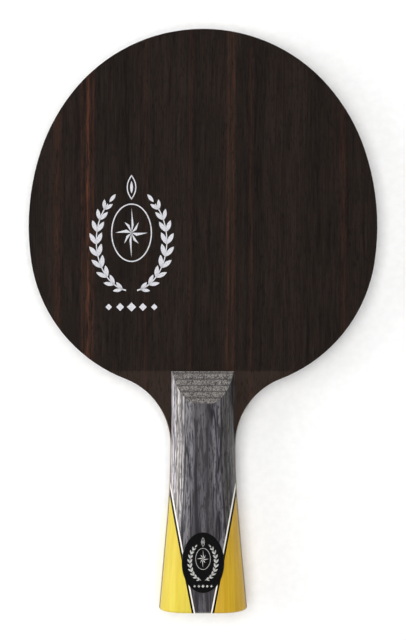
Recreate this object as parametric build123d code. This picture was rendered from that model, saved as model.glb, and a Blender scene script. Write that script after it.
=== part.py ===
from build123d import *
from math import atan2, cos, degrees, radians, sin, sqrt, tan
import os

# Table tennis blade without its rubbers: a seven-ply head whose tongue runs down to the
# butt, and a flared, oval handle made of two scales glued to that tongue.
# It is drawn with the butt at y = 0, the head towards +Y, the width along X and the middle
# of the core at z = 0. Everything is moved to the row frame when it is written.

# Overall sizes, mm
BLADE_LENGTH = 250.6
HANDLE_LENGTH = 103.0
HANDLE_THICKNESS = 23.0
WAIST_WIDTH = 28.4
WAIST_Y = 71.0

# Edge of the head from its top, clockwise: radius and turn in degrees of tangent arcs
HEAD_ARCS = [(71.5, 49.0), (81.7, 22.5), (103.5, 27.0)]
SHOULDER_RADIUS = 64.2

# Flared side of the handle, from the waist down to the butt
FLARE_RADIUS = 345.0
FLARE_ANGLE = 5.12
BUTT_ROUND = 1.2

# Cross-section of the handle: a small arc round the edge runs into a larger one below the crown
EDGE_RADIUS = 6.5
CROWN_RADIUS = 12.0

# Thickness of the plies, from the core outwards
CORE_PLY = 3.0
INNER_PLY = 0.9
CARBON_PLY = 0.2
FACE_PLY = 0.6
RUBBER_GAP = 1.5          # bare wood between the handle and the rubber's straight edge

# Scales: dyed veneers in a stack, with inlaid lines and wedges at the flare
VENEER_COUNT = 6
SCALE_LIP = 1.0           # upright step at the upper end of a scale
SLOPE_RUN = 13.7          # length of the slope from that step to the crown
LINE_SPREAD = 0.194       # sideways run of the inlaid lines per mm of handle length
LINE_START = 3.3          # half width of the grey block at the butt
WHITE_WIDTH = 0.6
BLACK_WIDTH = 0.85

# Badge, let into the front scale
BADGE_WIDTH = 18.2
BADGE_LENGTH = 25.9
BADGE_Y = 21.7
BADGE_DEPTH = 1.6
BADGE_GAP = 0.05
BADGE_TAPE = 0.2
BADGE_PROUD = 0.15
BADGE_DOME_RADIUS = 320.0
BADGE_EDGE_ROUND = 0.25

# Worked out from the sizes above
WAIST_HALF = WAIST_WIDTH / 2
CROWN_Z = HANDLE_THICKNESS / 2
CORE_Z = CORE_PLY / 2
INNER_Z = CORE_Z + INNER_PLY
CARBON_Z = INNER_Z + CARBON_PLY
FACE_Z = CARBON_Z + FACE_PLY
CROWN_CENTRE_Z = CROWN_Z - CROWN_RADIUS
CROWN_INSET = EDGE_RADIUS + sqrt((CROWN_RADIUS - EDGE_RADIUS) ** 2 - CROWN_CENTRE_Z ** 2)
ARC_MEET_Z = EDGE_RADIUS * -CROWN_CENTRE_Z / (CROWN_RADIUS - EDGE_RADIUS)
VENEER = (CROWN_Z - FACE_Z) / VENEER_COUNT
SIDE_REACH = 60.0         # half size of the cutting blocks, past every edge of the handle
PAST_END = 4.0            # how far a swept side runs past both ends of the handle
ROW_ORIGIN = Location((0, -BLADE_LENGTH / 2, CROWN_Z))


def edge_inset(z):
    """Distance from the handle's widest line to its surface at the height z."""
    height = abs(z)
    if height <= ARC_MEET_Z:
        return EDGE_RADIUS - sqrt(EDGE_RADIUS**2 - height**2)
    return CROWN_INSET - sqrt(CROWN_RADIUS**2 - (height - CROWN_CENTRE_Z) ** 2)


def head_arcs():
    """Tangent arcs from the top of the head down to the shoulder."""
    arcs = []
    start = Vector(0, BLADE_LENGTH)
    heading = Vector(1, 0)
    for radius, turn in HEAD_ARCS:
        arc = JernArc(start, heading, radius, -turn)
        arcs.append(arc)
        start = arc @ 1
        heading = arc % 1
    return arcs


def shoulder_and_neck(start, heading, waist):
    """Shoulder arc, and the hollow arc that leaves it at a tangent and ends at the waist."""
    centre = start + heading.rotate(Axis.Z, -90) * SHOULDER_RADIUS
    across = waist - centre.X
    along = centre.Y - WAIST_Y
    neck_radius = (across**2 + along**2 - SHOULDER_RADIUS**2) / (2 * (SHOULDER_RADIUS - across))
    neck_centre = Vector(waist + neck_radius, WAIST_Y)
    to_start = start - centre
    to_neck = neck_centre - centre
    turn = degrees(atan2(to_start.Y, to_start.X) - atan2(to_neck.Y, to_neck.X))
    shoulder = JernArc(start, heading, SHOULDER_RADIUS, -turn)
    leaving = shoulder % 1
    neck_turn = degrees(atan2(-leaving.X, -leaving.Y))
    neck = JernArc(shoulder @ 1, leaving, neck_radius, neck_turn)
    return [shoulder, neck]


def handle_side(start, inset):
    """Flare, straight side and rounded corner, from the waist to the butt."""
    flare = JernArc(start, (0, -1), FLARE_RADIUS + inset, FLARE_ANGLE)
    down = flare % 1
    side_length = (flare @ 1).Y / cos(radians(FLARE_ANGLE))
    corner_turn = 90 + FLARE_ANGLE
    corner_trim = BUTT_ROUND * tan(radians(corner_turn / 2))
    side = Line(flare @ 1, flare @ 1 + down * (side_length - corner_trim))
    corner = JernArc(side @ 1, down, BUTT_ROUND, -corner_turn)
    return [flare, side, corner]


def blade_outline(z):
    """Closed outline of the blade at the height z, drawn in the plane of that height."""
    inset = edge_inset(z)
    right = head_arcs()
    right += shoulder_and_neck(right[-1] @ 1, right[-1] % 1, WAIST_HALF - inset)
    right += handle_side(right[-1] @ 1, inset)
    left = [edge.mirror(Plane.YZ) for edge in right]
    butt = Line(right[-1] @ 1, left[-1] @ 1)
    return Wire(right + [butt] + left).moved(Location((0, 0, z)))


def ply(*heights):
    """Sheet of wood or fibre whose edge follows the outline at each of the heights."""
    return Solid.make_loft([blade_outline(z) for z in heights], ruled=True)


def face_ply(sheet):
    """The sheet with its faces parted at the rubber's straight edge, still one solid."""
    rubber_edge = Plane.XZ.offset(-(HANDLE_LENGTH + RUBBER_GAP))
    faces = []
    for half in sheet.split(rubber_edge, keep=Keep.BOTH):
        faces += half.faces().sort_by(lambda face: abs(face.center().Y - rubber_edge.origin.Y))[1:]
    return Solid(Shell(faces))


def block(low, high):
    """Box between two opposite corners."""
    size = [b - a for a, b in zip(low, high)]
    return Pos(*low) * Box(*size, align=(Align.MIN, Align.MIN, Align.MIN))


def scale_side():
    """Solid under the crowned surface on the right side, reaching far past the centre line."""
    base_angle = atan2(CROWN_INSET - edge_inset(FACE_Z), FACE_Z - CROWN_CENTRE_Z)
    angles = [base_angle, base_angle / 2, 0]
    arc = [
        (CROWN_RADIUS * sin(a) - CROWN_INSET, CROWN_RADIUS * cos(a) + CROWN_CENTRE_Z)
        for a in angles
    ]
    crown = Line(arc[2], (-SIDE_REACH, CROWN_Z))
    inner = Line(crown @ 1, (-SIDE_REACH, FACE_Z))
    base = Line(inner @ 1, arc[0])
    top = Vector(WAIST_HALF, HANDLE_LENGTH + PAST_END)
    section_plane = Plane(origin=top, x_dir=(1, 0, 0), z_dir=(0, -1, 0))
    section = section_plane * make_face([ThreePointArc(*arc), crown, inner, base])
    straight = Line(top, (WAIST_HALF, WAIST_Y))
    flare = JernArc(straight @ 1, (0, -1), FLARE_RADIUS, FLARE_ANGLE)
    side = Line(flare @ 1, flare @ 1 + (flare % 1) * ((flare @ 1).Y + PAST_END))
    return sweep(section, path=Wire([straight, flare, side]))


def scale_blank():
    """Front scale in one piece: flared, crowned, sloped at the neck and rounded at the butt."""
    right = scale_side()
    slope_start = HANDLE_LENGTH - SLOPE_RUN
    side_view = Polyline(
        (0, FACE_Z),
        (HANDLE_LENGTH, FACE_Z),
        (HANDLE_LENGTH, FACE_Z + SCALE_LIP),
        (slope_start, CROWN_Z),
        (0, CROWN_Z),
        close=True,
    )
    profile = extrude(Plane.YZ * make_face(side_view), SIDE_REACH / 2, both=True)
    blank = right & right.mirror(Plane.YZ) & profile
    butt_edges = blank.faces().sort_by(Axis.Y)[0].edges().filter_by(
        lambda edge: edge.center().Z > FACE_Z + SCALE_LIP
    )
    return fillet(butt_edges, BUTT_ROUND)


def line_band(inner, outer):
    """Upright prism between two lines that spread from the butt, on the right side."""
    low = -PAST_END
    high = HANDLE_LENGTH + PAST_END
    corners = [(offset + LINE_SPREAD * y, y) for offset, y in
               [(inner, low), (outer, low), (outer, high), (inner, high)]]
    return extrude(make_face(Polyline(*corners, close=True)), CROWN_Z)


def inlays(blank):
    """White line, black line and yellow wedge, cut from the blank on its right side."""
    white_edge = LINE_START + WHITE_WIDTH
    black_edge = white_edge + BLACK_WIDTH
    return {
        "white_line": blank & line_band(LINE_START, white_edge),
        "black_line": blank & line_band(white_edge, black_edge),
        "yellow_wedge": blank & line_band(black_edge, SIDE_REACH),
    }


def scale_pieces(blank):
    """Pieces of one scale by name: the stacked veneers, and the inlays on both sides."""
    pieces = {}
    grey = blank & line_band(-SIDE_REACH, LINE_START)
    grey = grey & grey.mirror(Plane.YZ)
    for number in range(VENEER_COUNT):
        low = FACE_Z + number * VENEER
        slab = block((-SIDE_REACH, -PAST_END, low), (SIDE_REACH, BLADE_LENGTH, low + VENEER))
        pieces[f"veneer_{number + 1}"] = grey & slab
    for name, piece in inlays(blank).items():
        pieces[f"{name}_right"] = piece
        pieces[f"{name}_left"] = piece.mirror(Plane.YZ)
    return pieces


def badge_prism(low, high, gap):
    """Upright oval prism at the badge's place, smaller all round by the gap."""
    oval = Ellipse(BADGE_WIDTH / 2 - gap, BADGE_LENGTH / 2 - gap)
    return Pos(0, BADGE_Y, low) * extrude(oval, high - low)


def badge_plate(low):
    """Oval plate with a slightly domed face and a rounded rim."""
    top = CROWN_Z + BADGE_PROUD
    dome = Pos(0, BADGE_Y, top - BADGE_DOME_RADIUS) * Sphere(BADGE_DOME_RADIUS)
    plate = badge_prism(low, top + 1, BADGE_GAP) & dome
    rim = plate.faces().sort_by(Axis.Z)[-1].edges()
    return fillet(rim, BADGE_EDGE_ROUND)


def blade_plies():
    """The seven plies, mirrored about the core."""
    plies = {"core_ply": ply(-CORE_Z, 0, CORE_Z)}
    for side, sign in (("front", 1), ("back", -1)):
        plies[f"inner_ply_{side}"] = ply(sign * CORE_Z, sign * INNER_Z)
        plies[f"carbon_ply_{side}"] = ply(sign * INNER_Z, sign * CARBON_Z)
        plies[f"face_ply_{side}"] = face_ply(ply(sign * CARBON_Z, sign * FACE_Z))
    return plies


def handle_pieces():
    """Both scales, with the badge let into the front one, where it parts the outermost veneer."""
    pieces = {}
    recess_floor = CROWN_Z - BADGE_DEPTH
    recess = badge_prism(recess_floor, CROWN_Z + 1, 0)
    for name, piece in scale_pieces(scale_blank()).items():
        pieces[f"front_{name}"] = piece - recess
        pieces[f"back_{name}"] = piece.mirror(Plane.XY)
    outermost = f"front_veneer_{VENEER_COUNT}"
    butt_end, neck_end = pieces.pop(outermost).solids().sort_by(Axis.Y)
    pieces[f"{outermost}_butt"] = butt_end
    pieces[f"{outermost}_neck"] = neck_end
    tape_top = recess_floor + BADGE_TAPE
    pieces["badge_tape"] = badge_prism(recess_floor, tape_top, BADGE_GAP)
    pieces["badge_plate"] = badge_plate(tape_top)
    return pieces


def write(pieces):
    """One file for each piece, in the row frame."""
    os.makedirs("parts", exist_ok=True)
    for name, piece in pieces.items():
        export_step(piece.moved(ROW_ORIGIN), f"parts/{name}.step")


write(blade_plies() | handle_pieces())
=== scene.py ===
"""Looks of a bare table tennis blade: its woods, inlays, badge and printed marks.

The blade lies on its back in the row frame, in metres: the head points towards +Y, the
badge faces +Z and the width runs along X. A size in millimetres says so in its name.
"""

from __future__ import annotations

import logging
import math
from collections.abc import Mapping, Sequence
from dataclasses import dataclass
from enum import Enum
from typing import TypeAlias

import bmesh
import bpy
from mathutils import Matrix, Vector

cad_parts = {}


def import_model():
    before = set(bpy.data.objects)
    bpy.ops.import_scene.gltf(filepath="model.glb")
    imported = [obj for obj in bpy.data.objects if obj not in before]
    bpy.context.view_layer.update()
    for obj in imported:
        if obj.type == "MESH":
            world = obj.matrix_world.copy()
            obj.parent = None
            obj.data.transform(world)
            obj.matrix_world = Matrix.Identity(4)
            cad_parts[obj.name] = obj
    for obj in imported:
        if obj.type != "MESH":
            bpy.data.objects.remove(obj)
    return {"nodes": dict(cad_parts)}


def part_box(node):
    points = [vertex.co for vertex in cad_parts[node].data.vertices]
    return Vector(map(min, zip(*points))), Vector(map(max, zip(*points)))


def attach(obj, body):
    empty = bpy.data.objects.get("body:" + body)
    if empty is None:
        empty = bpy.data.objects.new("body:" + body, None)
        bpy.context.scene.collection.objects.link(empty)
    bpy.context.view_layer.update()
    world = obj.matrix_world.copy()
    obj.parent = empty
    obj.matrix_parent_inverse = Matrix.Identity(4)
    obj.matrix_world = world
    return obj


LOG = logging.getLogger("blade")
MM = 0.001
BODY = "root"

# Blender's names for the nodes that are used most.
RAMP = "ShaderNodeValToRGB"
MATH = "ShaderNodeMath"

# How far a cut fibre end keeps its place behind the cut.
ROW_DEPTH_MM = 12.0

# Numbers of a mixing node's sockets for colours, whose names it uses more than once.
MIX_SHARE, MIX_UNDER, MIX_OVER, MIX_RESULT = 0, 6, 7, 2

Colour = tuple[float, float, float, float]
Stops = Sequence[tuple[float, Colour]]
Pair = tuple[float, float]
Nodes = Mapping[str, bpy.types.Object]
Source: TypeAlias = "bpy.types.Node | bpy.types.NodeSocket | Colour | float"


class Side(Enum):
    """The two faces of the blade, as the nodes name them."""

    FRONT = "front"
    BACK = "back"


class Hand(Enum):
    """The two edges of the handle, as the nodes name them."""

    LEFT = "left"
    RIGHT = "right"


def linear(code: str) -> Colour:
    """Turns an sRGB hex colour into the linear colour that a shader takes.

    Args:
        code: The colour as "#rrggbb".

    Returns:
        Red, green, blue and an alpha of 1.
    """
    channels = [int(code[i : i + 2], 16) / 255 for i in (1, 3, 5)]
    red, green, blue = (
        c / 12.92 if c <= 0.04045 else ((c + 0.055) / 1.055) ** 2.4 for c in channels
    )
    return red, green, blue, 1.0


def grey(value: float) -> Colour:
    """Gives a linear grey, for a ramp that shapes a pattern's strength."""
    return value, value, value, 1.0


def feed(node: bpy.types.Node, inputs: Mapping[str | int, Source]) -> None:
    """Sets or links a node's inputs.

    Args:
        node: The node.
        inputs: For each input's name or number, a constant, the socket that feeds it, or
            the node whose first output does.
    """
    for key, value in inputs.items():
        source = value.outputs[0] if isinstance(value, bpy.types.Node) else value
        if isinstance(source, bpy.types.NodeSocket):
            node.id_data.links.new(source, node.inputs[key])
        else:
            node.inputs[key].default_value = source


def add_node(
    tree: bpy.types.NodeTree,
    kind: str,
    inputs: Mapping[str | int, Source] | None = None,
    stops: Stops = (),
    **settings: object,
) -> bpy.types.Node:
    """Adds a node with its settings, constants and links.

    Args:
        tree: The node tree that gets the node.
        kind: Blender's name for the type of node.
        inputs: What sets or feeds its inputs.
        stops: Positions and colours of a colour ramp, from low to high.
        settings: Values for the node's own attributes.

    Returns:
        The new node.
    """
    node = tree.nodes.new(kind)
    for name, value in settings.items():
        setattr(node, name, value)
    feed(node, inputs or {})
    for number, (position, colour) in enumerate(stops):
        if number < 2:
            stop = node.color_ramp.elements[number]
            stop.position = position
        else:
            stop = node.color_ramp.elements.new(position)
        stop.color = colour
    return node


class Mixing(Enum):
    """What a coat of colour does to the coats under it, by Blender's name for it."""

    COVER = "MIX"
    DARKEN = "MULTIPLY"


@dataclass(frozen=True)
class Coat:
    """A coat of colour, how much of it shows and what it does to the coats under it."""

    colour: Source
    share: Source = 1.0
    mixing: Mixing = Mixing.COVER


class Surface:
    """A material while it is built: its node tree, its shader and its coordinates."""

    def __init__(self, name: str) -> None:
        """Starts a material that reads the piece's own coordinates.

        Args:
            name: The material's name.
        """
        self.material = bpy.data.materials.new(name)
        self.material.use_nodes = True
        self.tree = self.material.node_tree
        self.shader = self.tree.nodes["Principled BSDF"]
        self.place = add_node(self.tree, "ShaderNodeTexCoord").outputs["Object"]

    def bend_grain(self, sway_mm: float, along_mm: float, seed: float) -> None:
        """Lets everything drawn after this sway gently from side to side along the grain.

        Args:
            sway_mm: How far the grain leaves its straight line.
            along_mm: Length of one sway.
            seed: Shifts the pattern, so that no two boards match.
        """
        sway = self.fibres(along_mm / 2, along_mm, seed, detail=1.0)
        centred = {0: sway, 1: 2 * sway_mm * MM, 2: -sway_mm * MM}
        shift = add_node(self.tree, MATH, centred, operation="MULTIPLY_ADD")
        offset = add_node(self.tree, "ShaderNodeCombineXYZ", {"X": shift})
        moved = add_node(
            self.tree, "ShaderNodeVectorMath", {0: self.place, 1: offset}, operation="ADD"
        )
        self.place = moved.outputs[0]

    def fibres(
        self,
        across_mm: float,
        along_mm: float,
        seed: float,
        detail: float = 3.0,
        fineness: float = 0.55,
    ) -> bpy.types.NodeSocket:
        """Draws fibres that run along Y and keep their width in the end grain.

        Args:
            across_mm: Width of a fibre, both across the face and through the thickness.
            along_mm: Length of a fibre.
            seed: Shifts the pattern.
            detail: How many finer layers are added.
            fineness: How strong the finer layers are.

        Returns:
            The pattern's strength from 0 to 1.
        """
        scale = (1 / (across_mm * MM), 1 / (along_mm * MM), 1 / (across_mm * MM))
        placed = add_node(
            self.tree,
            "ShaderNodeMapping",
            {"Vector": self.place, "Location": (seed, 1.7 * seed, 2.3 * seed), "Scale": scale},
        )
        layers = {"Vector": placed, "Scale": 1.0, "Detail": detail, "Roughness": fineness}
        return add_node(self.tree, "ShaderNodeTexNoise", layers).outputs["Fac"]

    def rows(self, width_mm: float, height_mm: float, seed: float) -> bpy.types.NodeSocket:
        """Draws cut fibre ends as specks in rows that run along X, one above the other.

        Args:
            width_mm: Width of a speck.
            height_mm: Height of a row through the thickness.
            seed: Shifts the pattern.

        Returns:
            The pattern's strength from 0 to 1.
        """
        upright = self.place
        turned = add_node(
            self.tree,
            "ShaderNodeMapping",
            {"Vector": upright, "Scale": (height_mm / width_mm, 1.0, 1.0)},
        )
        self.place = turned.outputs[0]
        specks = self.fibres(height_mm, ROW_DEPTH_MM, seed, detail=1.0)
        self.place = upright
        return specks

    def figure(
        self, across_mm: float, along_mm: float, lines: float, seed: float
    ) -> bpy.types.NodeSocket:
        """Draws the growth rings of a flat-sawn sheet: long loops and pointed arches.

        Args:
            across_mm: Width of one loop.
            along_mm: Its length.
            lines: How many rings lie between the lowest and the highest part of the pattern.
            seed: Shifts the pattern.

        Returns:
            The place within a ring, 0 at the dark line and 1 halfway to the next.
        """
        height = self.fibres(across_mm, along_mm, seed, detail=1.5, fineness=0.4)
        counted = add_node(self.tree, MATH, {0: height, 1: lines}, operation="MULTIPLY")
        ring = add_node(self.tree, MATH, {0: counted, 1: 0.5}, operation="PINGPONG")
        return add_node(self.tree, MATH, {0: ring, 1: 2.0}, operation="MULTIPLY").outputs[0]

    def across(self, axis: str, low_mm: float, high_mm: float) -> bpy.types.NodeSocket:
        """Measures the place along an axis.

        Args:
            axis: The axis, "X", "Y" or "Z".
            low_mm: The place that counts as 0.
            high_mm: The place that counts as 1. It may be the lower of the two.

        Returns:
            The place from 0 to 1, and 0 or 1 beyond either end.
        """
        part = add_node(self.tree, "ShaderNodeSeparateXYZ", {0: self.place}).outputs[axis]
        span = {"Value": part, "From Min": low_mm * MM, "From Max": high_mm * MM}
        return add_node(self.tree, "ShaderNodeMapRange", span).outputs[0]

    def end_grain(self) -> bpy.types.NodeSocket:
        """Finds the surfaces that cut the fibres, which run along Y.

        Returns:
            1 on a cut and 0 on a surface that lies along the fibres.
        """
        normal = add_node(self.tree, "ShaderNodeNewGeometry").outputs["Normal"]
        along = add_node(self.tree, "ShaderNodeSeparateXYZ", {0: normal}).outputs["Y"]
        size = add_node(self.tree, MATH, {0: along}, operation="ABSOLUTE")
        limits = [(0.3, grey(0.0)), (0.4, grey(1.0))]
        return add_node(self.tree, RAMP, {"Fac": size}, limits).outputs[0]

    def build_up(self, *coats: Coat) -> bpy.types.NodeSocket:
        """Lays coats of colour one on another.

        Args:
            coats: The coats, from the lowest, which shows in full, to the uppermost.

        Returns:
            The colour that they give together.
        """
        lowest, *others = coats
        colour = lowest.colour
        for coat in others:
            mixed = add_node(
                self.tree,
                "ShaderNodeMix",
                {MIX_SHARE: coat.share, MIX_UNDER: colour, MIX_OVER: coat.colour},
                data_type="RGBA",
                blend_type=coat.mixing.value,
            )
            colour = mixed.outputs[MIX_RESULT]
        return colour

    def finish(
        self,
        colour: Source,
        roughness: Source,
        height: bpy.types.NodeSocket | None = None,
        depth_mm: float = 0.0,
        **constants: float,
    ) -> bpy.types.Material:
        """Feeds the shader.

        Args:
            colour: The base colour.
            roughness: The surface roughness.
            height: A pattern that raises and sinks the surface, or None for a flat one.
            depth_mm: How far the pattern raises it at most.
            constants: Further shader inputs, with spaces as underscores.

        Returns:
            The finished material.
        """
        feed(self.shader, {"Base Color": colour, "Roughness": roughness})
        feed(self.shader, {key.replace("_", " "): value for key, value in constants.items()})
        if height is not None:
            relief = {"Height": height, "Distance": depth_mm * MM, "Strength": 1.0}
            feed(self.shader, {"Normal": add_node(self.tree, "ShaderNodeBump", relief)})
        return self.material


@dataclass(frozen=True)
class Streak:
    """A streak that runs the length of a veneer, at its distance from the middle line."""

    x_mm: float
    width_mm: float
    strength: float


def streak_stops(streaks: Sequence[Streak], half_width_mm: float) -> Stops:
    """Gives streaks as a ramp across a board.

    Args:
        streaks: The streaks, from the left to the right.
        half_width_mm: Half the width that the ramp covers.

    Returns:
        The ramp's stops, 0 beside a streak and its strength in its middle.
    """
    stops = [(0.0, grey(0.0))]
    for streak in streaks:
        for offset, value in ((-0.5, 0.0), (0.0, streak.strength), (0.5, 0.0)):
            x_mm = streak.x_mm + offset * streak.width_mm
            stops.append((0.5 + x_mm / (2 * half_width_mm), grey(value)))
    return [*stops, (1.0, grey(0.0))]


@dataclass(frozen=True)
class EbonyVeneer:
    """Striped ebony, quarter-sliced and sanded, under a thin satin lacquer.

    Near-black heartwood with straight fine fibres, short darker pores, wide bands that
    are a little browner, and a few thin red-brown streaks along the whole blade. Real
    pores are about 0.1 mm wide and the fibres finer still, so both are drawn about 0.4 mm
    wide to show. The gloss is below the neutral 0.5, which keeps the black deep. Each pair
    of sizes is a width and a length along the grain.
    """

    black: str = "#110c0a"
    brown: str = "#271d17"
    red: str = "#6d3a22"
    pore: str = "#050404"
    # Below a line across the neck, at the top of the handle, the face is mixed with a lighter,
    # redder brown.
    bare: str = "#35271f"
    lighter_strength: float = 0.5
    lighter_below_mm: float = -22.2
    lighter_edge_mm: float = 0.4
    sway_mm: Pair = (1.3, 130.0)
    band_mm: Pair = (7.0, 420.0)
    fibre_mm: Pair = (0.45, 22.0)
    fibre_share: float = 0.6
    pore_mm: Pair = (0.36, 2.6)
    tear_mm: Pair = (0.7, 15.0)
    relief_mm: float = 0.02
    ior: float = 1.5
    gloss: float = 0.25
    roughness: Pair = (0.4, 0.52)
    half_width_mm: float = 76.0
    streaks: tuple[Streak, ...] = (
        Streak(-63.0, 5.0, 0.22),
        Streak(-52.0, 2.4, 0.24),
        Streak(-49.6, 2.2, 0.85),
        Streak(-47.4, 2.2, 0.28),
        Streak(-24.8, 3.0, 0.12),
        Streak(-5.4, 2.4, 0.14),
        Streak(10.6, 1.8, 0.3),
        Streak(12.8, 2.6, 0.24),
        Streak(20.4, 2.2, 0.16),
        Streak(60.4, 4.0, 0.16),
    )

    def material(self, name: str, seed: float) -> bpy.types.Material:
        """Builds the material.

        Args:
            name: The material's name.
            seed: Shifts the grain.

        Returns:
            The material.
        """
        surface = Surface(name)
        tree = surface.tree
        half, edge, soft = self.half_width_mm, self.lighter_below_mm, self.lighter_edge_mm
        surface.bend_grain(*self.sway_mm, seed + 3.1)
        bands = surface.fibres(*self.band_mm, seed + 1.0)
        lines = surface.fibres(*self.fibre_mm, seed + 2.0, fineness=0.65)
        dashes = surface.fibres(*self.pore_mm, seed + 4.0, detail=1.5)
        broken = surface.fibres(*self.tear_mm, seed + 5.0, fineness=0.65)
        below = surface.across("Y", edge + soft, edge - soft)
        across = surface.across("X", -half, half)
        black, brown = linear(self.black), linear(self.brown)
        smooth, rough = (grey(value) for value in self.roughness)
        lighter_stops = [(0.0, grey(0.0)), (1.0, grey(self.lighter_strength))]
        broad = add_node(tree, RAMP, {"Fac": bands}, [(0.36, black), (0.66, brown)])
        fine = add_node(tree, RAMP, {"Fac": lines}, [(0.4, black), (0.62, brown)])
        shoulder = add_node(tree, RAMP, {"Fac": below}, lighter_stops)
        streak = add_node(tree, RAMP, {"Fac": across}, streak_stops(self.streaks, half))
        torn = add_node(tree, RAMP, {"Fac": broken}, [(0.38, grey(0.1)), (0.66, grey(1.0))])
        pores = add_node(tree, RAMP, {"Fac": dashes}, [(0.54, grey(0.0)), (0.68, grey(0.7))])
        sheen = add_node(tree, RAMP, {"Fac": lines}, [(0.3, smooth), (0.7, rough)])
        wood = surface.build_up(
            Coat(broad),
            Coat(fine, self.fibre_share),
            # The lighter, redder brown below the line across the neck.
            Coat(linear(self.bare), shoulder),
            Coat(linear(self.red), surface.build_up(Coat(streak), Coat(torn, 1.0, Mixing.DARKEN))),
            Coat(linear(self.pore), pores),
        )
        shine = {"IOR": self.ior, "Specular_IOR_Level": self.gloss}
        return surface.finish(wood, sheen, lines, self.relief_mm, **shine)


@dataclass(frozen=True)
class GlueLine:
    """The dark line of glue that shows where one veneer of a stack meets the next."""

    colour: str = "#242124"
    width_mm: float = 0.3
    strength: float = 0.75


# The three dark ring lines on the crown of the handle, and the painted shade across its sheet.
CROWN_RINGS = (Streak(-3.2, 1.8, 0.6), Streak(1.8, 1.7, 0.7), Streak(5.8, 1.4, 0.5))
# Painted shade: lightest on the flat middle of the crown, darker towards both flanks.
CROWN_PAINTED_SHADE = (
    (-9.0, 0.5),
    (-4.6, 0.54),
    (-3.6, 0.72),
    (-0.6, 1.0),
    (2.8, 0.72),
    (4.6, 0.52),
    (9.0, 0.46),
)


@dataclass(frozen=True)
class DyedVeneer:
    """Grey-dyed veneer from a laminated handle block, milled, sanded and lacquered.

    The dye takes unevenly: dark ring lines in long arches along the grain, fine broken
    fibres between them, and a salt-and-pepper stipple where the block is cut across it.
    Real fibres are well under 0.1 mm wide, so they are drawn about 0.6 mm wide to show,
    and their cut ends 0.2 to 0.4 mm. The gloss is below the neutral 0.5, which keeps the
    grey flat. Each pair of sizes is a width and a length along the grain, but the stipple's
    is a width and a height.

    The tones are painted shade, not a trait of the wood: places across the handle, and how
    much of the wood's brightness is left there. They stand in for a fall of light from left
    to right that the studio lights don't give. Tones of 1.0 leave them out. The rings are
    single dark lines at set places, besides the arches.
    """

    dark: str
    mid: str
    light: str
    tones: tuple[Pair, ...] = ((-9.0, 1.0), (9.0, 0.16))
    rings: tuple[Streak, ...] = ()
    half_width_mm: float = 9.0
    cut_dark: str = "#2b2928"
    cut_light: str = "#8d8884"
    glue: GlueLine = GlueLine()
    sway_mm: Pair = (0.8, 30.0)
    arch_mm: Pair = (5.0, 120.0)
    arch_lines: float = 7.0
    fibre_mm: Pair = (0.66, 8.0)
    pore_mm: Pair = (0.55, 3.0)
    stipple_mm: Pair = (0.42, 0.22)
    relief_mm: float = 0.02
    ior: float = 1.5
    gloss: float = 0.3
    roughness: float = 0.38

    def material(self, name: str, seed: float, low: float, high: float) -> bpy.types.Material:
        """Builds the material for one sheet of the stack.

        Args:
            name: The material's name.
            seed: Shifts the grain, so that no two sheets match.
            low: Height of the sheet's lower glue line.
            high: Height of its upper glue line.

        Returns:
            The material.
        """
        surface = Surface(name)
        tree, half = surface.tree, self.half_width_mm
        upright = surface.across("X", -half, half)
        through = surface.across("Z", low / MM, high / MM)
        stipple = surface.rows(*self.stipple_mm, seed + 6.0)
        surface.bend_grain(*self.sway_mm, seed + 3.1)
        swaying = surface.across("X", -half, half)
        growth = surface.figure(*self.arch_mm, self.arch_lines, seed + 1.0)
        fine = surface.fibres(*self.fibre_mm, seed + 2.0, detail=2.0, fineness=0.5)
        specks = surface.fibres(*self.pore_mm, seed + 4.0, detail=1.0)
        dark, mid, light = linear(self.dark), linear(self.mid), linear(self.light)
        shades = [(0.05, dark), (0.22, mid), (1.0, light)]
        shade = [(0.5 + x_mm / (2 * half), grey(tone)) for x_mm, tone in self.tones]
        cut = [(0.34, linear(self.cut_dark)), (0.64, linear(self.cut_light))]
        edge = self.glue.width_mm * MM / (high - low)
        glued = grey(self.glue.strength)
        seams = [(0.0, glued), (edge, grey(0.0)), (1 - edge, grey(0.0)), (1.0, glued)]
        grain = add_node(tree, RAMP, {"Fac": growth}, shades)
        threads = add_node(tree, RAMP, {"Fac": fine}, [(0.4, grey(0.3)), (0.53, grey(1.0))])
        pores = add_node(tree, RAMP, {"Fac": specks}, [(0.56, grey(0.0)), (0.66, grey(0.85))])
        lines = add_node(tree, RAMP, {"Fac": swaying}, streak_stops(self.rings, half))
        wood = surface.build_up(
            Coat(grain),
            Coat(threads, 1.0, Mixing.DARKEN),
            Coat(dark, pores),
            Coat(dark, lines),
            Coat(add_node(tree, RAMP, {"Fac": upright}, shade), 1.0, Mixing.DARKEN),
            Coat(add_node(tree, RAMP, {"Fac": stipple}, cut), surface.end_grain()),
            Coat(linear(self.glue.colour), add_node(tree, RAMP, {"Fac": through}, seams)),
        )
        shine = {"IOR": self.ior, "Specular_IOR_Level": self.gloss}
        return surface.finish(wood, self.roughness, fine, self.relief_mm, **shine)


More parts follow.
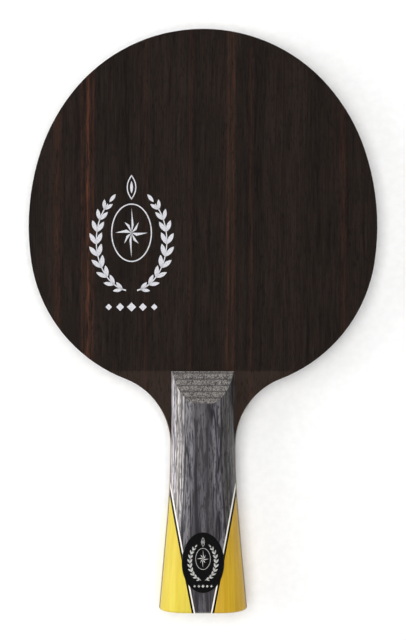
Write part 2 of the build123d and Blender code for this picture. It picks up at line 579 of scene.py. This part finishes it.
@dataclass(frozen=True)
class DyedWood:
    """Close-grained wood, dyed right through, milled, sanded and lacquered.

    Nearly one colour, with fine fibres a little darker or lighter than the rest. Real
    fibres are well under 0.1 mm wide, so they are drawn 0.5 to 1 mm wide to show, and the
    broad bands under them four times that. The gloss is set below the neutral 0.5.
    """

    dark: str
    light: str
    fibre_mm: float = 0.9
    length_mm: float = 45.0
    depth_mm: float = 0.015
    ior: float = 1.5
    gloss: float = 0.3
    roughness: float = 0.38

    def material(self, name: str, seed: float) -> bpy.types.Material:
        """Builds the material.

        Args:
            name: The material's name.
            seed: Shifts the grain.

        Returns:
            The material.
        """
        surface = Surface(name)
        surface.bend_grain(sway_mm=0.5, along_mm=50.0, seed=seed + 3.1)
        broad = surface.fibres(4 * self.fibre_mm, 2 * self.length_mm, seed + 1.0, detail=2.0)
        fine = surface.fibres(self.fibre_mm, self.length_mm, seed + 2.0, fineness=0.6)
        shades = [(0.32, linear(self.dark)), (0.68, linear(self.light))]
        bands, lines = (
            add_node(surface.tree, RAMP, {"Fac": pattern}, shades) for pattern in (broad, fine)
        )
        wood = surface.build_up(Coat(bands), Coat(lines, 0.5))
        shine = {"IOR": self.ior, "Specular_IOR_Level": self.gloss}
        return surface.finish(wood, self.roughness, fine, self.depth_mm, **shine)


@dataclass(frozen=True)
class CarbonFleece:
    """Carbon fibre fleece set in resin, only its sawn edge shows.

    Black with a grey sparkle of cut fibre ends. Those are under 0.01 mm thick, so their
    bundles are drawn, 0.3 mm wide.
    """

    resin: str = "#121314"
    fibre: str = "#4a4c50"
    fibre_mm: float = 0.3
    roughness: float = 0.4

    def material(self, name: str) -> bpy.types.Material:
        """Builds the material.

        Args:
            name: The material's name.

        Returns:
            The material.
        """
        surface = Surface(name)
        ends = surface.fibres(self.fibre_mm, self.fibre_mm, 7.0, detail=2.0)
        shades = [(0.5, linear(self.resin)), (0.72, linear(self.fibre))]
        colour = add_node(surface.tree, RAMP, {"Fac": ends}, shades)
        return surface.finish(colour, self.roughness)


@dataclass(frozen=True)
class GlossEnamel:
    """Black enamel, sprayed on a pressed metal plate and baked.

    Deep and glossy, with the slight orange peel of sprayed paint.
    """

    black: str = "#0f0f10"
    ior: float = 1.5
    roughness: float = 0.16
    peel_mm: float = 1.4
    peel_depth_mm: float = 0.004

    def material(self, name: str) -> bpy.types.Material:
        """Builds the material.

        Args:
            name: The material's name.

        Returns:
            The material.
        """
        surface = Surface(name)
        peel = surface.fibres(self.peel_mm, self.peel_mm, 2.0, detail=1.0)
        return surface.finish(
            linear(self.black), self.roughness, peel, self.peel_depth_mm, IOR=self.ior
        )


@dataclass(frozen=True)
class Ink:
    """Screen-printed ink, laid through a mesh and dried.

    Flat and opaque, a little thinner where the mesh held it back. A mesh's threads lie
    about 0.1 mm apart, so the thin spots are drawn 0.5 mm wide to show.
    """

    full: str
    thin: str
    grain_mm: float = 0.5
    metallic: float = 0.0
    roughness: float = 0.5

    def material(self, name: str) -> bpy.types.Material:
        """Builds the material.

        Args:
            name: The material's name.

        Returns:
            The material.
        """
        surface = Surface(name)
        cover = surface.fibres(self.grain_mm, self.grain_mm, 5.0, detail=2.0)
        shades = [(0.3, linear(self.thin)), (0.5, linear(self.full))]
        colour = add_node(surface.tree, RAMP, {"Fac": cover}, shades)
        return surface.finish(colour, self.roughness, Metallic=self.metallic)


@dataclass(frozen=True)
class FoamTape:
    """Black double-sided foam tape, die-cut: dull, with fine open cells at its edge."""

    black: str = "#1a1a1a"
    cell: str = "#2c2c2c"
    cell_mm: float = 0.2
    cell_depth_mm: float = 0.05
    roughness: float = 0.9

    def material(self, name: str) -> bpy.types.Material:
        """Builds the material.

        Args:
            name: The material's name.

        Returns:
            The material.
        """
        surface = Surface(name)
        cells = surface.fibres(self.cell_mm, self.cell_mm, 1.0, detail=1.0)
        shades = [(0.4, linear(self.black)), (0.6, linear(self.cell))]
        colour = add_node(surface.tree, RAMP, {"Fac": cells}, shades)
        return surface.finish(colour, self.roughness, cells, self.cell_depth_mm)


@dataclass(frozen=True)
class StudioPaper:
    """White background paper on the table: matt, with a very faint fibre."""

    white: str = "#fbfbfb"
    fibre: str = "#f8f8f8"
    fibre_mm: float = 3.0

    def material(self, name: str) -> bpy.types.Material:
        """Builds the material.

        Args:
            name: The material's name.

        Returns:
            The material.
        """
        surface = Surface(name)
        fibre = surface.fibres(self.fibre_mm, self.fibre_mm, 1.0)
        shades = [(0.4, linear(self.fibre)), (0.6, linear(self.white))]
        colour = add_node(surface.tree, RAMP, {"Fac": fibre}, shades)
        return surface.finish(colour, 1.0, Specular_IOR_Level=0.0)


def paint(nodes: Nodes, name: str, material: bpy.types.Material) -> None:
    """Gives a node of the design its finish, in every one of its material slots.

    Args:
        nodes: The design's nodes by name.
        name: The node's name.
        material: The finish.
    """
    for place in nodes[name].material_slots:
        place.material = material
    LOG.info("%s: %s", name, material.name)


@dataclass
class PlyStack:
    """The seven plies of the head, glued face to face, and their sawn edge."""

    face: EbonyVeneer = EbonyVeneer()
    carbon: CarbonFleece = CarbonFleece()
    inner: DyedWood = DyedWood("#9c8871", "#bba890", roughness=0.55)
    core: DyedWood = DyedWood("#b9a78d", "#d6c7ae", fibre_mm=0.7, roughness=0.65)

    def dress(self, nodes: Nodes) -> None:
        """Gives every ply its wood, each face ply with a figure of its own.

        Args:
            nodes: The design's nodes by name.
        """
        carbon = self.carbon.material("carbon_fleece_in_resin")
        inner = self.inner.material("limba_veneer_sanded", 11.0)
        paint(nodes, "core_ply", self.core.material("balsa_sanded", 5.0))
        for number, side in enumerate(Side):
            face = self.face.material(f"ebony_veneer_lacquered_{side.value}", 2.0 + 30 * number)
            paint(nodes, f"face_ply_{side.value}", face)
            paint(nodes, f"carbon_ply_{side.value}", carbon)
            paint(nodes, f"inner_ply_{side.value}", inner)


@dataclass
class HandleScale:
    """One half of the handle: a block of stacked veneers with inlaid lines and wedges.

    The two yellows stand for one wood. The right one is darker for the same reason as the
    dyed veneers have tones: it is painted shade.
    """

    side: Side
    veneers: tuple[DyedVeneer, ...] = (
        DyedVeneer("#625e65", "#b5b0b7", "#e4dfe5"),
        DyedVeneer("#6a6566", "#c8c2c3", "#f1ebec"),
        DyedVeneer("#5a565b", "#b9b4b9", "#e6e1e6"),
        DyedVeneer("#666260", "#b0aaa7", "#dfd8d4"),
        DyedVeneer("#5b5859", "#9f9a9b", "#cec8c9"),
        DyedVeneer("#454148", "#94919a", "#a5a1a6", tones=CROWN_PAINTED_SHADE, rings=CROWN_RINGS),
    )
    white: DyedWood = DyedWood("#e6e0d6", "#f6f3ec", fibre_mm=0.5)
    black: DyedWood = DyedWood("#040404", "#080707", fibre_mm=0.5, gloss=0.15)
    yellows: tuple[DyedWood, DyedWood] = (
        DyedWood("#ccb02f", "#dccb4c", fibre_mm=0.8),
        DyedWood("#b58c20", "#d0ab2c", fibre_mm=1.0),
    )

    def dress(self, nodes: Nodes) -> None:
        """Gives each veneer and inlay its finish, with a grain of its own.

        Args:
            nodes: The design's nodes by name.
        """
        first = 40.0 if self.side is Side.FRONT else 80.0
        for number, veneer in enumerate(self.veneers, start=1):
            start = f"{self.side.value}_veneer_{number}"
            sheets = [node for node in nodes if node.startswith(start)]
            low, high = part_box(sheets[0])
            name = f"grey_dyed_veneer_{self.side.value}_{number}"
            material = veneer.material(name, first + 1.3 * number, low.z, high.z)
            for node in sheets:
                paint(nodes, node, material)
        for turn, (hand, yellow) in enumerate(zip(Hand, self.yellows)):
            inlays = {"white_line": self.white, "black_line": self.black, "yellow_wedge": yellow}
            for kind, (piece, wood) in enumerate(inlays.items()):
                name = f"{piece}_wood_{self.side.value}_{hand.value}"
                material = wood.material(name, first + 20 + 3 * kind + 9 * turn)
                paint(nodes, f"{self.side.value}_{piece}_{hand.value}", material)


# How many straight sides stand for each curve of the printed ornament.
LEAF_SIDES = 20
RING_SIDES = 72
STAR_SIDES = 16
STEM_STEPS = 30

# The share of the ink that lies below the surface, so that no gap shows under it.
SUNK_SHARE = 0.25


@dataclass(frozen=True)
class Emblem:
    """A printed ornament: a compass star in an oval ring, held in a leaf wreath.

    All its sizes are those of the large print, in millimetres from its own centre.
    """

    ring_centre_mm: Pair = (0.0, 4.6)
    ring_half_mm: Pair = (8.8, 12.6)
    ring_line_mm: float = 0.5
    star_long_mm: float = 1.0
    star_short: float = 0.62
    star_valley: float = 0.34
    star_half_mm: Pair = (7.0, 10.6)
    wreath_centre_mm: Pair = (0.0, 1.0)
    wreath_half_mm: Pair = (15.2, 21.5)
    wreath_start: float = math.radians(9)
    wreath_end: float = math.radians(138)
    leaf_pairs: int = 9
    leaf_mm: Pair = (5.6, 2.0)
    leaf_taper: float = 0.3
    leaf_spread: float = math.radians(27)
    leaf_lag: float = 0.35
    leaf_reach: float = 0.56
    tip_reach: float = 0.75
    stem_mm: float = 0.45
    bud_centre_mm: Pair = (0.0, 24.2)
    bud_mm: Pair = (10.8, 4.2)
    heart_share: Pair = (0.5, 0.3)
    lozenges: int = 5
    lozenge_mm: float = 3.9
    lozenge_pitch_mm: float = 4.9
    lozenge_row_mm: float = -27.4
    lozenge_shrink: float = 0.14

    def leaf(
        self, mesh: bmesh.types.BMesh, size_mm: Pair, place: Matrix
    ) -> bmesh.types.BMFace:
        """Adds a pointed leaf that lies along the first axis of its place.

        Args:
            mesh: The mesh that gets the leaf.
            size_mm: Its length and width.
            place: Where its middle goes.

        Returns:
            The leaf's face.
        """
        made = bmesh.ops.create_circle(mesh, cap_ends=True, radius=1.0, segments=LEAF_SIDES)
        verts = made["verts"]
        for vert in verts:
            vert.co.y *= abs(vert.co.y)
        bmesh.ops.scale(mesh, verts=verts, vec=(size_mm[0] / 2, size_mm[1] / 2, 1))
        bmesh.ops.transform(mesh, verts=verts, matrix=place)
        return verts[0].link_faces[0]

    def hollow(
        self, mesh: bmesh.types.BMesh, face: bmesh.types.BMFace, line_mm: float
    ) -> None:
        """Leaves only a line round the edge of a face.

        Args:
            mesh: The face's mesh.
            face: The face.
            line_mm: Width of the line.
        """
        bmesh.ops.inset_region(
            mesh, faces=[face], thickness=line_mm, use_even_offset=True, use_boundary=True
        )
        bmesh.ops.delete(mesh, geom=[face], context="FACES_ONLY")

    def ring(self, mesh: bmesh.types.BMesh) -> None:
        """Adds the oval ring round the star.

        Args:
            mesh: The mesh that gets it.
        """
        made = bmesh.ops.create_circle(mesh, cap_ends=True, radius=1.0, segments=RING_SIDES)
        verts = made["verts"]
        bmesh.ops.scale(mesh, verts=verts, vec=(*self.ring_half_mm, 1))
        bmesh.ops.translate(mesh, verts=verts, vec=(*self.ring_centre_mm, 0))
        self.hollow(mesh, verts[0].link_faces[0], self.ring_line_mm)

    def star(self, mesh: bmesh.types.BMesh) -> None:
        """Adds an eight-pointed star with one half of each ray filled.

        Args:
            mesh: The mesh that gets it.
        """
        made = bmesh.ops.create_circle(
            mesh, cap_ends=True, cap_tris=True, radius=1.0, segments=STAR_SIDES
        )
        verts = made["verts"]
        rim = [v for v in verts if v.co.length > 0.5]
        for vert in rim:
            turn = math.atan2(vert.co.y, vert.co.x) / math.tau
            step = round(turn * STAR_SIDES) % STAR_SIDES
            if step % 2:
                vert.co *= self.star_valley
            elif step % 4:
                vert.co *= self.star_short
        fan = sorted(
            {face for vert in verts for face in vert.link_faces},
            key=lambda face: math.atan2(*face.calc_center_median().yx),
        )
        bmesh.ops.delete(mesh, geom=fan[::2], context="FACES_ONLY")
        bmesh.ops.scale(mesh, verts=verts, vec=(*self.star_half_mm, 1))
        bmesh.ops.translate(mesh, verts=verts, vec=(*self.ring_centre_mm, 0))
        for face in fan[1::2]:
            bmesh.ops.split(mesh, geom=[face])

    def wreath_point(self, angle: float) -> tuple[Vector, float]:
        """Gives a point of the right stem and the direction in which the stem grows there.

        Args:
            angle: Turn round the wreath's centre from its lowest point.

        Returns:
            The point in the print's plane, and the angle of growth from the first axis.
        """
        wide, high = self.wreath_half_mm
        x, y = self.wreath_centre_mm
        point = Vector((x + wide * math.sin(angle), y - high * math.cos(angle), 0))
        growth = math.atan2(high * math.sin(angle), wide * math.cos(angle))
        return point, growth

    def sprig(self, mesh: bmesh.types.BMesh) -> None:
        """Adds the right half of the wreath: a stem with leaves in pairs and one at its tip.

        Args:
            mesh: The mesh that gets it.
        """
        span = self.wreath_end - self.wreath_start
        for number in range(self.leaf_pairs):
            part = (number + self.leaf_lag) / self.leaf_pairs
            full = 1 - self.leaf_taper * (1 - math.sin(math.pi * part))
            size = (self.leaf_mm[0] * full, self.leaf_mm[1] * full)
            angle = self.wreath_start + span * part
            for spread in (-self.leaf_spread, self.leaf_spread):
                self.sprout(mesh, angle, spread, size, self.leaf_reach)
        self.sprout(mesh, self.wreath_end, 0.0, size, self.tip_reach)
        self.stem(mesh, span)

    def sprout(
        self, mesh: bmesh.types.BMesh, angle: float, spread: float, size_mm: Pair, reach: float
    ) -> None:
        """Adds a leaf that grows from the right stem.

        Args:
            mesh: The mesh that gets it.
            angle: Where it grows, as a turn round the wreath's centre.
            spread: Its turn away from the stem.
            size_mm: Its length and width.
            reach: Distance of its middle from the stem, as a share of its length.
        """
        point, growth = self.wreath_point(angle)
        place = (
            Matrix.Translation(point)
            @ Matrix.Rotation(growth + spread, 4, "Z")
            @ Matrix.Translation((size_mm[0] * reach, 0, 0))
        )
        self.leaf(mesh, size_mm, place)

    def stem(self, mesh: bmesh.types.BMesh, span: float) -> None:
        """Adds the thin line that the leaves grow from.

        Args:
            mesh: The mesh that gets it.
            span: How far it turns round the wreath's centre.
        """
        wide, high = self.wreath_half_mm
        half_line = self.stem_mm / 2 / wide
        ends = [mesh.verts.new((0, -1 - half_line, 0)), mesh.verts.new((0, -1 + half_line, 0))]
        edge = mesh.edges.new(ends)
        bmesh.ops.rotate(
            mesh, verts=ends, cent=(0, 0, 0), matrix=Matrix.Rotation(self.wreath_start, 3, "Z")
        )
        before = set(mesh.verts) - set(ends)
        bmesh.ops.spin(
            mesh,
            geom=[*ends, edge],
            angle=span,
            steps=STEM_STEPS,
            axis=(0, 0, 1),
            cent=(0, 0, 0),
        )
        made = [v for v in mesh.verts if v not in before]
        bmesh.ops.scale(mesh, verts=made, vec=(wide, high, 1))
        bmesh.ops.translate(mesh, verts=made, vec=(*self.wreath_centre_mm, 0))

    def bud(self, mesh: bmesh.types.BMesh) -> None:
        """Adds the bud on top: an outlined middle leaf with a filled heart.

        Args:
            mesh: The mesh that gets it.
        """
        place = Matrix.Translation((*self.bud_centre_mm, 0)) @ Matrix.Rotation(math.pi / 2, 4, "Z")
        outline = self.leaf(mesh, self.bud_mm, place)
        self.hollow(mesh, outline, self.stem_mm)
        length, width = self.heart_share
        self.leaf(mesh, (self.bud_mm[0] * length, self.bud_mm[1] * width), place)

    def lozenge_row(self, mesh: bmesh.types.BMesh) -> None:
        """Adds the row of lozenges below the wreath, the outer ones smaller.

        Args:
            mesh: The mesh that gets them.
        """
        middle = (self.lozenges - 1) / 2
        for number in range(self.lozenges):
            step = number - middle
            size = self.lozenge_mm * (1 - self.lozenge_shrink * abs(step)) / 2
            place = Matrix.Translation((step * self.lozenge_pitch_mm, self.lozenge_row_mm, 0))
            bmesh.ops.create_circle(mesh, cap_ends=True, radius=size, segments=4, matrix=place)

    def print_on(
        self, name: str, centre: Vector, scale: float, ink_mm: float, dome_radius: float | None
    ) -> bpy.types.Object:
        """Makes the ornament as a thin layer of ink.

        Args:
            name: The new piece's name.
            centre: Its centre, on the surface it is printed on.
            scale: Its size against the large print.
            ink_mm: Thickness of the ink, which starts a little below the surface.
            dome_radius: Radius of the dome that it lies on, or None for a flat face.

        Returns:
            The new piece, riding on the blade.
        """
        mesh = bmesh.new()
        self.sprig(mesh)
        half = mesh.verts[:] + mesh.edges[:] + mesh.faces[:]
        bmesh.ops.mirror(mesh, geom=half, axis="X", merge_dist=-1.0)
        self.ring(mesh)
        self.star(mesh)
        self.bud(mesh)
        self.lozenge_row(mesh)
        size = scale * MM
        bmesh.ops.scale(mesh, verts=mesh.verts, vec=(size, size, size))
        bmesh.ops.recalc_face_normals(mesh, faces=mesh.faces)
        for face in mesh.faces:
            if face.normal.z < 0:
                face.normal_flip()
        flat = mesh.faces[:]
        bmesh.ops.solidify(mesh, geom=flat, thickness=ink_mm * MM)
        if dome_radius:
            for vert in mesh.verts:
                vert.co.z -= vert.co.xy.length_squared / (2 * dome_radius)
        highest = max(vert.co.z for vert in mesh.verts)
        lowest = highest - ink_mm * MM * (1 - SUNK_SHARE)
        bmesh.ops.translate(mesh, verts=mesh.verts, vec=centre - Vector((0, 0, lowest)))
        bmesh.ops.recalc_face_normals(mesh, faces=mesh.faces)
        data = bpy.data.meshes.new(name)
        mesh.to_mesh(data)
        mesh.free()
        piece = bpy.data.objects.new(name, data)
        bpy.context.scene.collection.objects.link(piece)
        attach(piece, BODY)
        LOG.info("%s: %d faces", name, len(data.polygons))
        return piece


@dataclass
class FaceMark:
    """The white print on the front face, left of the middle."""

    emblem: Emblem = Emblem()
    ink: Ink = Ink("#cfcfd4", "#a5a5ab")
    ink_mm: float = 0.04
    x_mm: float = -30.8
    above_butt_mm: float = 158.1

    def build(self) -> None:
        """Prints the emblem on the front face ply."""
        low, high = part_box("face_ply_front")
        centre = Vector((self.x_mm * MM, low.y + self.above_butt_mm * MM, high.z))
        piece = self.emblem.print_on("face_mark", centre, 1.0, self.ink_mm, None)
        piece.data.materials.append(self.ink.material("white_screen_ink"))


@dataclass
class Badge:
    """The oval badge let into the front scale: foam tape, enamelled plate and silver print."""

    enamel: GlossEnamel = GlossEnamel()
    tape: FoamTape = FoamTape()
    emblem: Emblem = Emblem()
    ink: Ink = Ink("#c9c8c4", "#8d8c88", metallic=0.35, roughness=0.4)
    ink_mm: float = 0.03
    print_scale: float = 0.365
    dome_radius_mm: float = 320.0

    def build(self, nodes: Nodes) -> None:
        """Finishes the plate and its tape, and prints the emblem on the dome.

        Args:
            nodes: The design's nodes by name.
        """
        paint(nodes, "badge_plate", self.enamel.material("black_baked_enamel"))
        paint(nodes, "badge_tape", self.tape.material("black_foam_tape"))
        low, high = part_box("badge_plate")
        centre = (low + high) / 2
        centre.z = high.z
        piece = self.emblem.print_on(
            "badge_mark", centre, self.print_scale, self.ink_mm, self.dome_radius_mm * MM
        )
        piece.data.materials.append(self.ink.material("silver_screen_ink"))


@dataclass(frozen=True)
class SoftBox:
    """A rectangular studio light that faces the blade.

    A polarised light leaves no highlight, as if a filter on the lens were crossed with it.
    """

    name: str
    place: tuple[float, float, float]
    size: Pair
    brightness: float
    polarised: bool = False

    def build(self) -> None:
        """Hangs the light at its place and aims it at the middle of the blade."""
        lamp = bpy.data.lights.new(self.name, "AREA")
        lamp.shape = "RECTANGLE"
        lamp.size, lamp.size_y = self.size
        lamp.energy = self.brightness * self.size[0] * self.size[1] * math.pi
        light = bpy.data.objects.new(self.name, lamp)
        light.location = self.place
        light.rotation_euler = Vector(self.place).to_track_quat("Z", "Y").to_euler()
        light.visible_camera = False
        light.visible_glossy = not self.polarised
        bpy.context.scene.collection.objects.link(light)


@dataclass
class Studio:
    """White paper, a large polarised light above and low soft lights round the blade."""

    paper: StudioPaper = StudioPaper()
    floor_half: float = 4.0
    lights: tuple[SoftBox, ...] = (
        SoftBox("soft_top", (-0.1, 0.0, 1.5), (1.1, 1.1), 5.2, polarised=True),
        SoftBox("key_left", (-1.6, 0.1, 0.65), (0.7, 1.4), 4.0),
        SoftBox("soft_head", (0.1, 1.4, 1.0), (0.9, 0.9), 1.5),
        SoftBox("soft_foot", (-0.1, -1.4, 1.0), (0.9, 0.9), 1.0),
    )
    camera_distance: float = 0.70
    camera_field: float = 0.2758
    camera_shift_mm: Pair = (0.0, -0.2)
    wall_light: float = 0.5
    wall_top: float = 0.35
    ceiling_light: float = 0.03
    ceiling_from: float = 0.7

    def floor(self) -> None:
        """Lays the paper just under the blade."""
        mesh = bmesh.new()
        bmesh.ops.create_grid(mesh, x_segments=1, y_segments=1, size=self.floor_half)
        data = bpy.data.meshes.new("studio_floor")
        mesh.to_mesh(data)
        mesh.free()
        floor = bpy.data.objects.new("studio_floor", data)
        floor.data.materials.append(self.paper.material("white_studio_paper"))
        bpy.context.scene.collection.objects.link(floor)

    def walls(self) -> None:
        """Surrounds the scene with light walls under a dark ceiling."""
        world = bpy.data.worlds.new("studio_walls")
        world.use_nodes = True
        tree = world.node_tree
        direction = add_node(tree, "ShaderNodeTexCoord").outputs["Generated"]
        rise = add_node(tree, "ShaderNodeSeparateXYZ", {0: direction}).outputs["Z"]
        wall, ceiling = grey(self.wall_light), grey(self.ceiling_light)
        stops = [(0.0, wall), (self.wall_top, wall), (self.ceiling_from, ceiling)]
        shade = add_node(tree, RAMP, {"Fac": rise}, stops)
        feed(tree.nodes["Background"], {"Color": shade})
        bpy.context.scene.world = world

    def camera(self, face_height: float) -> None:
        """Looks straight down at the front face.

        Args:
            face_height: Height of the front face, where the field of view is measured.
        """
        lens = bpy.data.cameras.new("camera")
        lens.sensor_fit = "VERTICAL"
        lens.angle_y = 2 * math.atan(self.camera_field / 2 / self.camera_distance)
        camera = bpy.data.objects.new("camera", lens)
        x_mm, y_mm = self.camera_shift_mm
        camera.location = (x_mm * MM, y_mm * MM, face_height + self.camera_distance)
        bpy.context.scene.collection.objects.link(camera)
        bpy.context.scene.camera = camera

    def build(self) -> None:
        """Sets up paper, lights, surroundings and camera."""
        self.floor()
        self.walls()
        for light in self.lights:
            light.build()
        self.camera(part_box("face_ply_front")[1].z)
        bpy.context.scene.view_settings.view_transform = "Standard"
        LOG.info("studio: %d lights", len(self.lights))


def main() -> None:
    """Loads the design, finishes every piece, adds the prints and sets up the studio."""
    logging.basicConfig(level=logging.INFO, format="%(name)s: %(message)s")
    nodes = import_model()["nodes"]
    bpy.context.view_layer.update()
    PlyStack().dress(nodes)
    for side in Side:
        HandleScale(side).dress(nodes)
    Badge().build(nodes)
    FaceMark().build()
    Studio().build()


if __name__ == "__main__":
    main()
